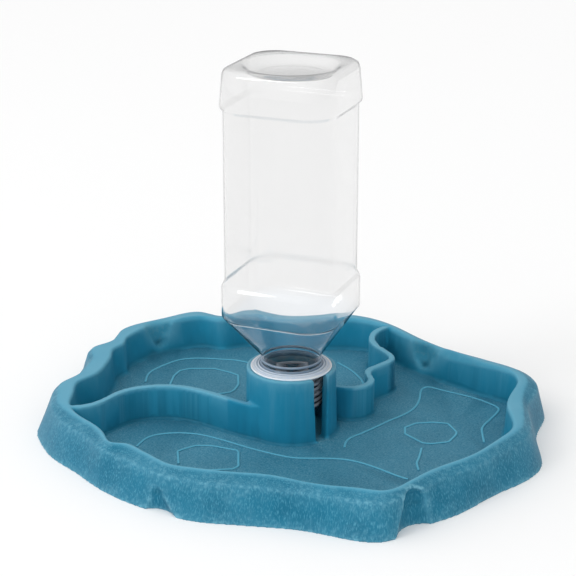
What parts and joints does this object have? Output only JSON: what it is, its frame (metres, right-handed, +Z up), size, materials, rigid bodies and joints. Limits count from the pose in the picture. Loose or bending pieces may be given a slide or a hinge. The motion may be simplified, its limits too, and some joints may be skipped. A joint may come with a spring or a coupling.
{
  "type": "reptile water dispenser",
  "caption": "Rock-edged two-bowl tray for reptiles, with a clear bottle that stands neck down in a slotted collar and refills the water bowl.",
  "frame": {"origin": "centre of the part's footprint, on the surface that the tray stands on", "axes": "+X along the tray's longest side, to the right when the collar's slot faces the viewer; +Y towards the food bowl; +Z up"},
  "size_m": [0.2959, 0.2823, 0.2155],
  "materials": {
    "tray_plastic": "satin blue-green moulded plastic with a fine brushed speckle",
    "clear_plastic": "clear glossy blow-moulded plastic"
  },
  "bodies": {
    "tray": {"tray": "tray_plastic"},
    "bottle": {"bottle": "clear_plastic"}
  },
  "joints": [
    {"name": "bottle_lift", "type": "slide", "parent": "tray", "child": "bottle", "axis": [0, 0, 1], "range_m": [0, 0.06]}
  ]
}
